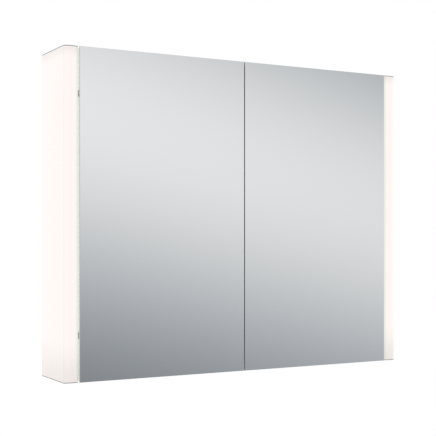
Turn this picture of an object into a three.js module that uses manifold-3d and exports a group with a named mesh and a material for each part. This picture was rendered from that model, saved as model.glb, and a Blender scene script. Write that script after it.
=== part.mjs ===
// A two-door mirror cabinet with a lit opal strip down each side, to hang on a wall.
//
// Millimetres. +X is to the right and +Z is up, and the front faces -Y. The origin is the middle
// of the back panel's outer face, which lies against the wall.
//
// Each half of the cabinet is built in a frame of its own: x runs inwards from the outer side, y runs
// back from the front plane and z runs up from the underside. The right half is the same, mirrored.

import * as THREE from "three";
import { mergeVertices } from "three/addons/utils/BufferGeometryUtils.js";
import Module from "manifold-3d";

const wasm = await Module();
wasm.setup();

// Overall sizes.
const OVERALL_WIDTH = 800;
const OVERALL_HEIGHT = 650;
const OVERALL_DEPTH = 128;

// Clearances.
const FIT_GAP = 0.3; // between pieces that rest on each other
const RUNNING_CLEARANCE = 0.35; // between a door's swept corner and what it passes
const DOORS_MEETING_GAP = 2;
const FINGER_GAP = 12; // height of the space under the bottom panel, where a hand reaches behind a door

// Doors.
const MIRROR_THICKNESS = 4;
const DOOR_CORE_THICKNESS = 12.4;
const DOOR_CORE_SETBACK = 2; // the glass stands this far past the core at its edges
const REAR_MIRROR_SETBACK = 3;
const DOOR_OPEN_DEGREES = 95;
const BUMPER_RADIUS = 5;
const BUMPER_LEAST_THICKNESS = 1.9; // it fills the space between a closed door and the carcass
const BUMPER_FROM_MEETING_EDGE = 30;

// Hinges.
const HINGE_FROM_DOOR_END = 90;
const PIN_SHORT_OF_PANEL = 1; // the pin lies a side panel's thickness, less this, in from the door's edge
const PIN_RADIUS = 1.5;
const PIN_LENGTH = 32;
const KNUCKLE_RADIUS = 3;
const KNUCKLE_CLEARANCE = 0.5; // between the knuckle and the glass in front of it
const ARM_THICKNESS = 2.2;
const ARM_HEIGHT = 12;
const ARM_REACH = 56; // behind the carcass's front edge
const ARM_STEP_START = 3; // behind the carcass's front edge
const CUP_RADIUS = 17;
const CUP_FLAT_TO_PIN = 7.5; // from the cup's flat side, which faces the door's edge, to the pin
const CUP_CENTRE_PAST_PIN = 0.5;
const ARM_SWING_ROOM = 8; // from the pin to the closed end of the cup's slot
const CUP_REAR_SETBACK = 0.5; // behind the rear mirror's face
const PLATE_THICKNESS = 3;
const PLATE_SETBACK = 37; // row of fixing screws behind the carcass's front edge
const PLATE_SPINE_LENGTH = 34;
const PLATE_WING_HEIGHT = 46;
const PLATE_WING_WIDTH = 12;

// Carcass.
const PANEL_THICKNESS = 16;
const BACK_THICKNESS = 12;

// Light units.
const LIGHT_WIDTH = 29.5;
const DIFFUSER_THICKNESS = 2.5;
const DIFFUSER_CROWN = 4.2; // how far the front face bows forward of its edges
const DIFFUSER_RETURN_DEPTH = 21.7;
const CAP_THICKNESS = 1.2;
const CARRIER_THICKNESS = 1.5;
const LED_BOARD_THICKNESS = 1.6;
const FRONT_LED_BOARD_WIDTH = 12;
const SIDE_LED_BOARD_WIDTH = 20;
const LED_BOARD_END_MARGIN = 14;

// Shelves.
const SHELF_COUNT = 2;
const SHELF_THICKNESS = 5;
const SHELF_FRONT_SETBACK = 14; // behind the carcass's front edge
const SHELF_REAR_GAP = 1;
const CLIP_WALL = 2;
const CLIP_REACH = 11;
const CLIP_WIDTH = 12;
const CLIP_FROM_SHELF_EDGE = 14;

// Driver, its cover and the cable gland.
const DRIVER_LENGTH = 180;
const DRIVER_WIDTH = 27;
const DRIVER_HEIGHT = 20;
const DRIVER_FROM_CENTRE = -25;
const COVER_LENGTH = 270;
const COVER_DEPTH = 40;
const COVER_HEIGHT = 44;
const COVER_WALL = 1.5;
const GLAND_BORE_RADIUS = 4.5;
const GLAND_BODY_RADIUS = 7.5;
const GLAND_FLANGE_RADIUS = 11;
const GLAND_FLANGE_THICKNESS = 2;
const GLAND_FROM_CENTRE = 100;

// Keyhole plates for the wall screws.
const KEYHOLE_PLATE_WIDTH = 39;
const KEYHOLE_PLATE_HEIGHT = 55;
const KEYHOLE_PLATE_THICKNESS = 2;
const KEYHOLE_PLATE_FROM_SIDE = 22; // from the side panel's inner face
const KEYHOLE_PLATE_FROM_TOP = 60; // from the top panel's underside
const KEYHOLE_RADIUS = 6;
const KEYHOLE_SLOT_WIDTH = 5.6;
const KEYHOLE_SLOT_RISE = 16;
const HEAD_POCKET_WIDTH = 26;
const HEAD_POCKET_HEIGHT = 42;
const HEAD_POCKET_DEPTH = 6.5;

// Rocker switch in the bottom panel.
const SWITCH_FROM_SIDE = 110; // from the right-hand side panel's inner face
const SWITCH_SETBACK = 26; // behind the carcass's front edge
const SWITCH_BODY_WIDTH = 20;
const SWITCH_BODY_LENGTH = 28;
const SWITCH_BODY_HEIGHT = 14.5;
const BEZEL_MARGIN = 3;
const BEZEL_THICKNESS = 2;
const ROCKER_WIDTH = 12;
const ROCKER_RADIUS = 10; // of its rounded ends, about its axis
const ROCKER_TIP_DEGREES = 14; // from one stop to the other
const ROCKER_CLEARANCE = 0.5;
const ROCKER_POCKET_DEGREES = 45; // how far round its axis, above level, the rocker's pocket reaches
const ROCKER_AXIS_DEPTH = 3; // above the bezel's outer face

// How the solids are made.
const WELD_DISTANCE = 1e-4; // vertices closer than this are one
const CUT_PAST = 1; // how far a cutting shape runs past what it cuts
const CURVE_SEGMENTS = 12;
const CUP_SEGMENTS = 24;
const ROCKER_SEGMENTS = 10;
const BAR_SEGMENTS = 24;
const ROUND_HOLE_SEGMENTS = 32;
const SWEPT_SEGMENTS = 96; // of the circle that a door's corner turns in
const BUMPER_SEGMENTS = 20;
const CROWN_SEGMENTS = 14;

// Where things lie in a half's own frame.
const pinDepth = MIRROR_THICKNESS + KNUCKLE_CLEARANCE + KNUCKLE_RADIUS;
const pinInset = PANEL_THICKNESS - PIN_SHORT_OF_PANEL;
const doorBulge = Math.hypot(pinInset, pinDepth) - pinInset;
const doorEdge = LIGHT_WIDTH + doorBulge + RUNNING_CLEARANCE;
const doorWidth = (OVERALL_WIDTH - DOORS_MEETING_GAP) / 2 - doorEdge;
const coreFront = MIRROR_THICKNESS + FIT_GAP;
const coreRear = coreFront + DOOR_CORE_THICKNESS;
const rearMirrorFront = coreRear + FIT_GAP;
const doorThickness = rearMirrorFront + MIRROR_THICKNESS;
const openAngle = THREE.MathUtils.degToRad(DOOR_OPEN_DEGREES);
const openCornerReach = pinDepth + pinInset * Math.sin(openAngle) - pinDepth * Math.cos(openAngle);
const bodyFront = Math.max(
  doorThickness + BUMPER_LEAST_THICKNESS + 2 * FIT_GAP,
  openCornerReach + RUNNING_CLEARANCE,
);
const bumperThickness = bodyFront - doorThickness - 2 * FIT_GAP;
const doorCornerRadius = bodyFront - RUNNING_CLEARANCE - pinDepth;
const sideOuter = LIGHT_WIDTH + FIT_GAP;
const sideInner = sideOuter + PANEL_THICKNESS;
const backFront = OVERALL_DEPTH - BACK_THICKNESS;
const bottomTop = FINGER_GAP + PANEL_THICKNESS;
const topUnderside = OVERALL_HEIGHT - PANEL_THICKNESS;
const innerHalfWidth = OVERALL_WIDTH / 2 - sideInner;
const hingeHeights = {
  lower: HINGE_FROM_DOOR_END,
  upper: OVERALL_HEIGHT - HINGE_FROM_DOOR_END,
};

// ---- Shapes ----

// A box given by its two ends along each axis.
function box([x0, x1], [y0, y1], [z0, z1]) {
  const geometry = new THREE.BoxGeometry(x1 - x0, y1 - y0, z1 - z0);
  return geometry.translate((x0 + x1) / 2, (y0 + y1) / 2, (z0 + z1) / 2);
}

// An outline in x and y, carried up from z0 to z1.
function prismUp(shape, z0, z1, curveSegments = CURVE_SEGMENTS) {
  const geometry = new THREE.ExtrudeGeometry(shape, { depth: z1 - z0, bevelEnabled: false, curveSegments });
  return geometry.translate(0, 0, z0);
}

// An outline in x and z, carried back from y0 to y1.
function prismBack(shape, y0, y1, curveSegments = CURVE_SEGMENTS) {
  const geometry = new THREE.ExtrudeGeometry(shape, { depth: y1 - y0, bevelEnabled: false, curveSegments });
  return geometry.rotateX(Math.PI / 2).translate(0, y1, 0);
}

// An outline in y and z, carried across from x0 to x1.
function prismAcross(shape, x0, x1, curveSegments = CURVE_SEGMENTS) {
  const geometry = new THREE.ExtrudeGeometry(shape, { depth: x1 - x0, bevelEnabled: false, curveSegments });
  return geometry.rotateX(Math.PI / 2).rotateZ(Math.PI / 2).translate(x0, 0, 0);
}

function outline(points) {
  return new THREE.Shape(points.map(([a, b]) => new THREE.Vector2(a, b)));
}

// A round bar along z.
function barUp(radius, x, y, z0, z1, segments = BAR_SEGMENTS) {
  const geometry = new THREE.CylinderGeometry(radius, radius, z1 - z0, segments);
  return geometry.rotateX(Math.PI / 2).translate(x, y, (z0 + z1) / 2);
}

// A round bar along y.
function barBack(radius, x, z, y0, y1, segments = BAR_SEGMENTS) {
  const geometry = new THREE.CylinderGeometry(radius, radius, y1 - y0, segments);
  return geometry.translate(x, (y0 + y1) / 2, z);
}

function toSolid(geometry) {
  const bare = geometry.clone();
  bare.deleteAttribute("normal");
  bare.deleteAttribute("uv");
  const merged = mergeVertices(bare, WELD_DISTANCE);
  return new wasm.Manifold(
    new wasm.Mesh({
      numProp: 3,
      vertProperties: new Float32Array(merged.attributes.position.array),
      triVerts: new Uint32Array(merged.index.array),
    }),
  );
}

function toGeometry(solid) {
  const mesh = solid.getMesh();
  const indexed = new THREE.BufferGeometry();
  indexed.setAttribute("position", new THREE.BufferAttribute(mesh.vertProperties, 3));
  indexed.setIndex(new THREE.BufferAttribute(mesh.triVerts, 1));
  const geometry = indexed.toNonIndexed();
  geometry.computeVertexNormals();
  return geometry;
}

function cut(body, ...tools) {
  return toGeometry(tools.reduce((solid, tool) => solid.subtract(toSolid(tool)), toSolid(body)));
}

function join(body, ...others) {
  return toGeometry(others.reduce((solid, other) => solid.add(toSolid(other)), toSolid(body)));
}

function piece(name, geometry, material) {
  const mesh = new THREE.Mesh(geometry, material);
  mesh.name = name;
  return mesh;
}

// ---- Materials ----

function standard(color, roughness, metalness) {
  return new THREE.MeshStandardMaterial({ color, roughness, metalness });
}

function mirrorGlass() {
  return standard(0xe4e8ea, 0.03, 1);
}

function clearGlass() {
  return standard(0xdfeae6, 0.05, 0);
}

function litAcrylic() {
  const material = standard(0xfefaf4, 0.45, 0);
  material.emissive = new THREE.Color(0xfefaf4);
  return material;
}

function whiteBoard() {
  return standard(0xf2f2ef, 0.5, 0);
}

function anodisedAluminium() {
  return standard(0xb9bcbf, 0.35, 1);
}

function platedSteel() {
  return standard(0xc6c7c8, 0.25, 1);
}

function whitePlastic() {
  return standard(0xf0f0ee, 0.4, 0);
}

function greyPlastic() {
  return standard(0xb4b6b8, 0.5, 0);
}

function clearRubber() {
  return standard(0xe6e8e8, 0.6, 0);
}

// ---- Carcass ----

function sidePanel() {
  return box([sideOuter, sideInner], [bodyFront, OVERALL_DEPTH], [FINGER_GAP, OVERALL_HEIGHT]);
}

function crossPanel(z0, z1) {
  const half = innerHalfWidth - FIT_GAP;
  return box([-half, half], [bodyFront, OVERALL_DEPTH], [z0, z1]);
}

const switchX = innerHalfWidth - SWITCH_FROM_SIDE;
const switchY = bodyFront + SWITCH_SETBACK;

function switchBox(margin, z0, z1) {
  const halfWidth = SWITCH_BODY_WIDTH / 2 + margin;
  const halfLength = SWITCH_BODY_LENGTH / 2 + margin;
  const across = [switchX - halfWidth, switchX + halfWidth];
  const along = [switchY - halfLength, switchY + halfLength];
  return box(across, along, [z0, z1]);
}

function bottomPanel() {
  const cutOut = switchBox(FIT_GAP, FINGER_GAP - CUT_PAST, bottomTop + CUT_PAST);
  return cut(crossPanel(FINGER_GAP, bottomTop), cutOut);
}

// The keyhole plate's middle, measured from the cabinet's middle, and its height.
const keyholeX = innerHalfWidth - KEYHOLE_PLATE_FROM_SIDE - KEYHOLE_PLATE_WIDTH / 2;
const keyholeZ = topUnderside - KEYHOLE_PLATE_FROM_TOP - KEYHOLE_PLATE_HEIGHT / 2;
const keyholeFront = OVERALL_DEPTH - KEYHOLE_PLATE_THICKNESS;
const keyholeEyeZ = keyholeZ - KEYHOLE_SLOT_RISE / 2;
const glandZ = topUnderside - COVER_HEIGHT / 2;

function centredBox(x, z, width, height, y0, y1) {
  return box([x - width / 2, x + width / 2], [y0, y1], [z - height / 2, z + height / 2]);
}

function backPanel() {
  const half = innerHalfWidth - FIT_GAP;
  const board = box([-half, half], [backFront, OVERALL_DEPTH], [bottomTop + FIT_GAP, topUnderside - FIT_GAP]);
  const recessWidth = KEYHOLE_PLATE_WIDTH + 2 * FIT_GAP;
  const recessHeight = KEYHOLE_PLATE_HEIGHT + 2 * FIT_GAP;
  const recessFront = keyholeFront - FIT_GAP;
  const pocketFront = recessFront - HEAD_POCKET_DEPTH;
  const pockets = [-keyholeX, keyholeX].flatMap((x) => [
    centredBox(x, keyholeZ, recessWidth, recessHeight, recessFront, OVERALL_DEPTH + CUT_PAST),
    centredBox(x, keyholeZ, HEAD_POCKET_WIDTH, HEAD_POCKET_HEIGHT, pocketFront, recessFront + CUT_PAST),
  ]);
  const glandHole = barBack(
    GLAND_BODY_RADIUS + FIT_GAP,
    GLAND_FROM_CENTRE,
    glandZ,
    backFront - CUT_PAST,
    OVERALL_DEPTH + CUT_PAST,
    ROUND_HOLE_SEGMENTS,
  );
  return cut(board, ...pockets, glandHole);
}

function keyholePlate(x) {
  const width = KEYHOLE_PLATE_WIDTH;
  const plate = centredBox(x, keyholeZ, width, KEYHOLE_PLATE_HEIGHT, keyholeFront, OVERALL_DEPTH);
  const y0 = keyholeFront - CUT_PAST;
  const y1 = OVERALL_DEPTH + CUT_PAST;
  const eye = barBack(KEYHOLE_RADIUS, x, keyholeEyeZ, y0, y1, ROUND_HOLE_SEGMENTS);
  const slotTop = keyholeEyeZ + KEYHOLE_SLOT_RISE;
  const slotHalf = KEYHOLE_SLOT_WIDTH / 2;
  const slot = box([x - slotHalf, x + slotHalf], [y0, y1], [keyholeEyeZ, slotTop]);
  const slotEnd = barBack(slotHalf, x, slotTop, y0, y1);
  return cut(plate, eye, slot, slotEnd);
}

// ---- Light units ----

// The bowed front, as the height of an arc over the strip's width.
const crownRadius = (LIGHT_WIDTH ** 2 / 4 + DIFFUSER_CROWN ** 2) / (2 * DIFFUSER_CROWN);

// Points of the front arc from the outer side to the inner one, on an arc drawn in by the given distance.
function crownPoints(inwards, steps = CROWN_SEGMENTS) {
  const radius = crownRadius - inwards;
  const halfAngle = Math.asin((LIGHT_WIDTH / 2 - inwards) / radius);
  return Array.from({ length: steps + 1 }, (_, i) => {
    const angle = halfAngle * ((2 * i) / steps - 1);
    return [LIGHT_WIDTH / 2 + radius * Math.sin(angle), crownRadius - radius * Math.cos(angle)];
  });
}

function diffuserOutline() {
  const inner = DIFFUSER_THICKNESS;
  return outline([
    ...crownPoints(0),
    [LIGHT_WIDTH, DIFFUSER_RETURN_DEPTH],
    [LIGHT_WIDTH - inner, DIFFUSER_RETURN_DEPTH],
    ...crownPoints(inner).reverse(),
    [inner, OVERALL_DEPTH],
    [0, OVERALL_DEPTH],
  ]);
}

const lightBottom = CAP_THICKNESS + FIT_GAP;
const lightTop = OVERALL_HEIGHT - CAP_THICKNESS - FIT_GAP;

function lightDiffuser() {
  return prismUp(diffuserOutline(), lightBottom, lightTop);
}

function lightCap(z0) {
  const shape = outline([...crownPoints(0), [LIGHT_WIDTH, OVERALL_DEPTH], [0, OVERALL_DEPTH]]);
  return prismUp(shape, z0, z0 + CAP_THICKNESS);
}

const carrierFront = DIFFUSER_RETURN_DEPTH + FIT_GAP;
const carrierRear = OVERALL_DEPTH - FIT_GAP;

// A channel that is open towards the diffuser's side wall.
function lightCarrier() {
  const open = DIFFUSER_THICKNESS + FIT_GAP;
  const web = LIGHT_WIDTH - CARRIER_THICKNESS;
  const shape = outline([
    [open, carrierFront],
    [LIGHT_WIDTH, carrierFront],
    [LIGHT_WIDTH, carrierRear],
    [open, carrierRear],
    [open, carrierRear - CARRIER_THICKNESS],
    [web, carrierRear - CARRIER_THICKNESS],
    [web, carrierFront + CARRIER_THICKNESS],
    [open, carrierFront + CARRIER_THICKNESS],
  ]);
  return prismUp(shape, lightBottom, lightTop);
}

const ledHeights = [lightBottom + LED_BOARD_END_MARGIN, lightTop - LED_BOARD_END_MARGIN];

function frontLedBoard() {
  const middle = LIGHT_WIDTH / 2;
  const rear = carrierFront - FIT_GAP;
  return box(
    [middle - FRONT_LED_BOARD_WIDTH / 2, middle + FRONT_LED_BOARD_WIDTH / 2],
    [rear - LED_BOARD_THICKNESS, rear],
    ledHeights,
  );
}

function sideLedBoard() {
  const middle = (carrierFront + carrierRear) / 2;
  const seat = LIGHT_WIDTH - CARRIER_THICKNESS - FIT_GAP;
  return box(
    [seat - LED_BOARD_THICKNESS, seat],
    [middle - SIDE_LED_BOARD_WIDTH / 2, middle + SIDE_LED_BOARD_WIDTH / 2],
    ledHeights,
  );
}

// ---- Doors, in a frame that starts at the door's hinge edge ----

const cupCentre = pinInset + CUP_CENTRE_PAST_PIN;
const slotHalfHeight = ARM_HEIGHT / 2 + KNUCKLE_CLEARANCE;

// A round cup with one flat side, towards the door's edge, at the given height. Growing it gives its pocket.
function cupOutline(z, grow) {
  const radius = CUP_RADIUS + grow;
  const flat = pinInset - CUP_FLAT_TO_PIN - grow;
  const angle = Math.acos((cupCentre - flat) / radius);
  const shape = new THREE.Shape();
  shape.absarc(cupCentre, z, radius, Math.PI + angle, 3 * Math.PI - angle, false);
  shape.closePath();
  return shape;
}

// What the arm passes through as the door opens: a slot from the cup out through the door's edge.
function armSlot(z, y0, y1) {
  return box([-CUT_PAST, cupCentre], [y0, y1], [z - slotHalfHeight, z + slotHalfHeight]);
}

// The distance from the door's edge at which the corner arc about the pin meets a given depth.
function cornerArcAt(depth) {
  return pinInset - Math.sqrt(doorCornerRadius ** 2 - (depth - pinDepth) ** 2);
}

function frontMirror() {
  return box([0, doorWidth], [0, MIRROR_THICKNESS], [0, OVERALL_HEIGHT]);
}

// The core board. Its rear corner at the hinge edge is rounded about the pin, so that it clears the carcass.
function doorCore() {
  const z0 = DOOR_CORE_SETBACK;
  const z1 = OVERALL_HEIGHT - DOOR_CORE_SETBACK;
  const board = box([DOOR_CORE_SETBACK, doorWidth - DOOR_CORE_SETBACK], [coreFront, coreRear], [z0, z1]);
  const heights = [z0 - CUT_PAST, z1 + CUT_PAST];
  const [low, high] = [heights[0] - CUT_PAST, heights[1] + CUT_PAST];
  const swept = barUp(doorCornerRadius, pinInset, pinDepth, low, high, SWEPT_SEGMENTS);
  const beyondSwept = cut(box([-CUT_PAST, pinInset], [pinDepth, coreRear + CUT_PAST], heights), swept);
  const depths = [coreFront - CUT_PAST, coreRear + CUT_PAST];
  const pockets = Object.values(hingeHeights).flatMap((z) => [
    prismBack(cupOutline(z, FIT_GAP), ...depths, CUP_SEGMENTS),
    armSlot(z, ...depths),
  ]);
  return cut(board, beyondSwept, ...pockets);
}

function rearMirror() {
  const x0 = cornerArcAt(doorThickness) + FIT_GAP;
  const z0 = REAR_MIRROR_SETBACK;
  const sheet = box(
    [x0, doorWidth - REAR_MIRROR_SETBACK],
    [rearMirrorFront, doorThickness],
    [z0, OVERALL_HEIGHT - REAR_MIRROR_SETBACK],
  );
  const depths = [rearMirrorFront - CUT_PAST, doorThickness + CUT_PAST];
  const pockets = Object.values(hingeHeights).flatMap((z) => [
    prismBack(cupOutline(z, FIT_GAP), ...depths, CUP_SEGMENTS),
    armSlot(z, ...depths),
  ]);
  return cut(sheet, ...pockets);
}

function doorBumper(z) {
  const x = doorWidth - BUMPER_FROM_MEETING_EDGE;
  const y0 = doorThickness + FIT_GAP;
  return barBack(BUMPER_RADIUS, x, z, y0, y0 + bumperThickness, BUMPER_SEGMENTS);
}

// ---- Hinges, in the door's frame ----

const pinHole = PIN_RADIUS + FIT_GAP;

function hingeCup(z) {
  const y0 = coreFront;
  const y1 = doorThickness - CUP_REAR_SETBACK;
  const body = prismBack(cupOutline(z, 0), y0, y1, CUP_SEGMENTS);
  const slotHeights = [z - slotHalfHeight, z + slotHalfHeight];
  const slot = box([0, pinInset + ARM_SWING_ROOM], [y0 - CUT_PAST, y1 + CUT_PAST], slotHeights);
  const boreReach = CUP_RADIUS + CUT_PAST;
  const bore = barUp(pinHole, pinInset, pinDepth, z - boreReach, z + boreReach);
  return cut(body, slot, bore);
}

function hingePin(z) {
  return barUp(PIN_RADIUS, pinInset, pinDepth, z - PIN_LENGTH / 2, z + PIN_LENGTH / 2);
}

// The side panel's inner face and the faces of the mounting plate, in the door's frame.
const wallX = sideInner - doorEdge;
const plateX0 = wallX + FIT_GAP;
const plateX1 = plateX0 + PLATE_THICKNESS;

// A knuckle round the pin, and an arm that runs back from it and steps over the mounting plate.
function hingeArm(z) {
  const nearX1 = pinInset + KNUCKLE_RADIUS;
  const nearX0 = nearX1 - ARM_THICKNESS;
  const farX0 = plateX1 + FIT_GAP;
  const farX1 = farX0 + ARM_THICKNESS;
  const stepStart = bodyFront + ARM_STEP_START;
  const stepEnd = stepStart + 2 * ARM_THICKNESS;
  const armEnd = bodyFront + ARM_REACH;
  const bar = outline([
    [nearX0, pinDepth],
    [nearX1, pinDepth],
    [nearX1, stepStart - ARM_THICKNESS / 2],
    [farX1, stepEnd - ARM_THICKNESS / 2],
    [farX1, armEnd],
    [farX0, armEnd],
    [farX0, stepEnd],
    [nearX0, stepStart],
  ]);
  const z0 = z - ARM_HEIGHT / 2;
  const z1 = z + ARM_HEIGHT / 2;
  const knuckle = barUp(KNUCKLE_RADIUS, pinInset, pinDepth, z0, z1, ROUND_HOLE_SEGMENTS);
  const bore = barUp(pinHole, pinInset, pinDepth, z0 - CUT_PAST, z1 + CUT_PAST);
  return toGeometry(toSolid(prismUp(bar, z0, z1)).add(toSolid(knuckle)).subtract(toSolid(bore)));
}

// A cross-shaped plate: a spine under the arm, and two wings that take the fixing screws.
function hingePlate(z) {
  const middle = bodyFront + PLATE_SETBACK;
  const spine = box(
    [plateX0, plateX1],
    [middle - PLATE_SPINE_LENGTH / 2, middle + PLATE_SPINE_LENGTH / 2],
    [z - ARM_HEIGHT / 2, z + ARM_HEIGHT / 2],
  );
  const wings = box(
    [plateX0, plateX1],
    [middle - PLATE_WING_WIDTH / 2, middle + PLATE_WING_WIDTH / 2],
    [z - PLATE_WING_HEIGHT / 2, z + PLATE_WING_HEIGHT / 2],
  );
  return join(spine, wings);
}

// ---- Shelves ----

const shelfHalf = innerHalfWidth - 2 * FIT_GAP - CLIP_WALL;
const shelfDepths = [bodyFront + SHELF_FRONT_SETBACK, backFront - SHELF_REAR_GAP];
const bayHeight = (topUnderside - bottomTop - SHELF_COUNT * SHELF_THICKNESS) / (SHELF_COUNT + 1);

// The underside of a shelf, with equal bays between the shelves.
function shelfHeight(index) {
  return bottomTop + bayHeight + index * (bayHeight + SHELF_THICKNESS);
}

function glassShelf(index) {
  const z0 = shelfHeight(index);
  return box([-shelfHalf, shelfHalf], shelfDepths, [z0, z0 + SHELF_THICKNESS]);
}

// A clip that holds a shelf's end from below, from above and against the side panel, in a half's frame.
function shelfClip(index, y) {
  const under = shelfHeight(index) - FIT_GAP;
  const over = under + SHELF_THICKNESS + 2 * FIT_GAP;
  const x0 = sideInner + FIT_GAP;
  const shape = outline([
    [x0, under - CLIP_WALL],
    [x0 + CLIP_REACH, under - CLIP_WALL],
    [x0 + CLIP_REACH, under],
    [x0 + CLIP_WALL, under],
    [x0 + CLIP_WALL, over],
    [x0 + CLIP_REACH, over],
    [x0 + CLIP_REACH, over + CLIP_WALL],
    [x0, over + CLIP_WALL],
  ]);
  return prismBack(shape, y - CLIP_WIDTH / 2, y + CLIP_WIDTH / 2);
}

// ---- Driver, cover and gland ----

function ledDriver() {
  const z1 = topUnderside - FIT_GAP;
  const y1 = backFront - (COVER_DEPTH - DRIVER_WIDTH) / 2;
  const x0 = DRIVER_FROM_CENTRE - DRIVER_LENGTH / 2;
  return box([x0, x0 + DRIVER_LENGTH], [y1 - DRIVER_WIDTH, y1], [z1 - DRIVER_HEIGHT, z1]);
}

// A tray that is open towards the top panel and the back panel.
function driverCover() {
  const half = COVER_LENGTH / 2;
  const y1 = backFront - FIT_GAP;
  const z1 = topUnderside - FIT_GAP;
  const outer = box([-half, half], [y1 - COVER_DEPTH, y1], [z1 - COVER_HEIGHT, z1]);
  const hollow = box(
    [-half + COVER_WALL, half - COVER_WALL],
    [y1 - COVER_DEPTH + COVER_WALL, y1 + CUT_PAST],
    [z1 - COVER_HEIGHT + COVER_WALL, z1 + CUT_PAST],
  );
  return cut(outer, hollow);
}

// A flanged bush with a bore for the mains lead. The flange lies inside, against the back panel.
function cableGland() {
  const flangeFront = backFront - FIT_GAP - GLAND_FLANGE_THICKNESS;
  const flangeRear = backFront - FIT_GAP;
  const profile = [
    [GLAND_BORE_RADIUS, flangeFront],
    [GLAND_FLANGE_RADIUS, flangeFront],
    [GLAND_FLANGE_RADIUS, flangeRear],
    [GLAND_BODY_RADIUS, flangeRear],
    [GLAND_BODY_RADIUS, OVERALL_DEPTH],
    [GLAND_BORE_RADIUS, OVERALL_DEPTH],
    [GLAND_BORE_RADIUS, flangeFront],
  ].map(([radius, y]) => new THREE.Vector2(radius, y));
  return new THREE.LatheGeometry(profile, ROUND_HOLE_SEGMENTS).translate(GLAND_FROM_CENTRE, 0, glandZ);
}

// ---- Switch ----

const bezelTop = FINGER_GAP - FIT_GAP;
const bezelFace = bezelTop - BEZEL_THICKNESS;
const rockerAxisZ = bezelFace + ROCKER_AXIS_DEPTH;

// The bezel under the bottom panel, the body in its cut-out, and the pocket for the rocker.
function switchHousing() {
  const body = switchBox(0, bezelFace, bezelFace + SWITCH_BODY_HEIGHT);
  const bezel = switchBox(BEZEL_MARGIN, bezelFace, bezelTop);
  const halfWidth = ROCKER_WIDTH / 2 + ROCKER_CLEARANCE;
  const halfLength = ROCKER_RADIUS + ROCKER_CLEARANCE;
  const pocketTop = rockerAxisZ + ROCKER_RADIUS * Math.sin(THREE.MathUtils.degToRad(ROCKER_POCKET_DEGREES));
  const pocket = box(
    [switchX - halfWidth, switchX + halfWidth],
    [switchY - halfLength, switchY + halfLength],
    [bezelFace - CUT_PAST, pocketTop],
  );
  return toGeometry(toSolid(body).add(toSolid(bezel)).subtract(toSolid(pocket)));
}

// A rocker with two flats that meet over its axis, and ends that are round about it, tipped onto one stop.
function switchRocker() {
  const tip = THREE.MathUtils.degToRad(ROCKER_TIP_DEGREES / 2);
  const endAngle = 3 * tip;
  const shape = new THREE.Shape();
  shape.moveTo(0, -ROCKER_AXIS_DEPTH * Math.cos(tip));
  shape.lineTo(ROCKER_RADIUS * Math.cos(endAngle), -ROCKER_RADIUS * Math.sin(endAngle));
  shape.absarc(0, 0, ROCKER_RADIUS, -endAngle, tip, false);
  shape.lineTo(-ROCKER_RADIUS * Math.cos(tip), ROCKER_RADIUS * Math.sin(tip));
  shape.absarc(0, 0, ROCKER_RADIUS, Math.PI - tip, Math.PI + endAngle, false);
  shape.closePath();
  const geometry = prismAcross(shape, -ROCKER_WIDTH / 2, ROCKER_WIDTH / 2, ROCKER_SEGMENTS);
  return geometry.rotateX(tip).translate(switchX, switchY, rockerAxisZ);
}

// ---- Assembly ----

// One half: the light unit, the side panel, the fixed hinge pieces, the shelf clips and the door.
function cabinetHalf(side) {
  const group = new THREE.Group();
  const [shelfFront, shelfRear] = shelfDepths;
  group.add(
    piece(`side_panel_${side}`, sidePanel(), whiteBoard()),
    piece(`light_diffuser_${side}`, lightDiffuser(), litAcrylic()),
    piece(`light_carrier_${side}`, lightCarrier(), anodisedAluminium()),
    piece(`front_led_board_${side}`, frontLedBoard(), whitePlastic()),
    piece(`side_led_board_${side}`, sideLedBoard(), whitePlastic()),
    piece(`light_cap_bottom_${side}`, lightCap(0), greyPlastic()),
    piece(`light_cap_top_${side}`, lightCap(OVERALL_HEIGHT - CAP_THICKNESS), greyPlastic()),
  );
  for (let index = 0; index < SHELF_COUNT; index += 1) {
    const shelf = index + 1;
    const front = shelfClip(index, shelfFront + CLIP_FROM_SHELF_EDGE);
    const rear = shelfClip(index, shelfRear - CLIP_FROM_SHELF_EDGE);
    group.add(
      piece(`shelf_${shelf}_clip_front_${side}`, front, clearRubber()),
      piece(`shelf_${shelf}_clip_rear_${side}`, rear, clearRubber()),
    );
  }
  const door = new THREE.Group();
  door.position.x = doorEdge;
  door.add(
    piece(`front_mirror_${side}`, frontMirror(), mirrorGlass()),
    piece(`door_core_${side}`, doorCore(), whiteBoard()),
    piece(`rear_mirror_${side}`, rearMirror(), mirrorGlass()),
    piece(`bumper_bottom_${side}`, doorBumper(FINGER_GAP + PANEL_THICKNESS / 2), clearRubber()),
    piece(`bumper_top_${side}`, doorBumper(OVERALL_HEIGHT - PANEL_THICKNESS / 2), clearRubber()),
  );
  for (const [level, z] of Object.entries(hingeHeights)) {
    door.add(
      piece(`hinge_cup_${level}_${side}`, hingeCup(z), platedSteel()),
      piece(`hinge_pin_${level}_${side}`, hingePin(z), platedSteel()),
      piece(`hinge_arm_${level}_${side}`, hingeArm(z), platedSteel()),
      piece(`hinge_plate_${level}_${side}`, hingePlate(z), platedSteel()),
    );
  }
  group.add(door);
  return group;
}

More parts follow.
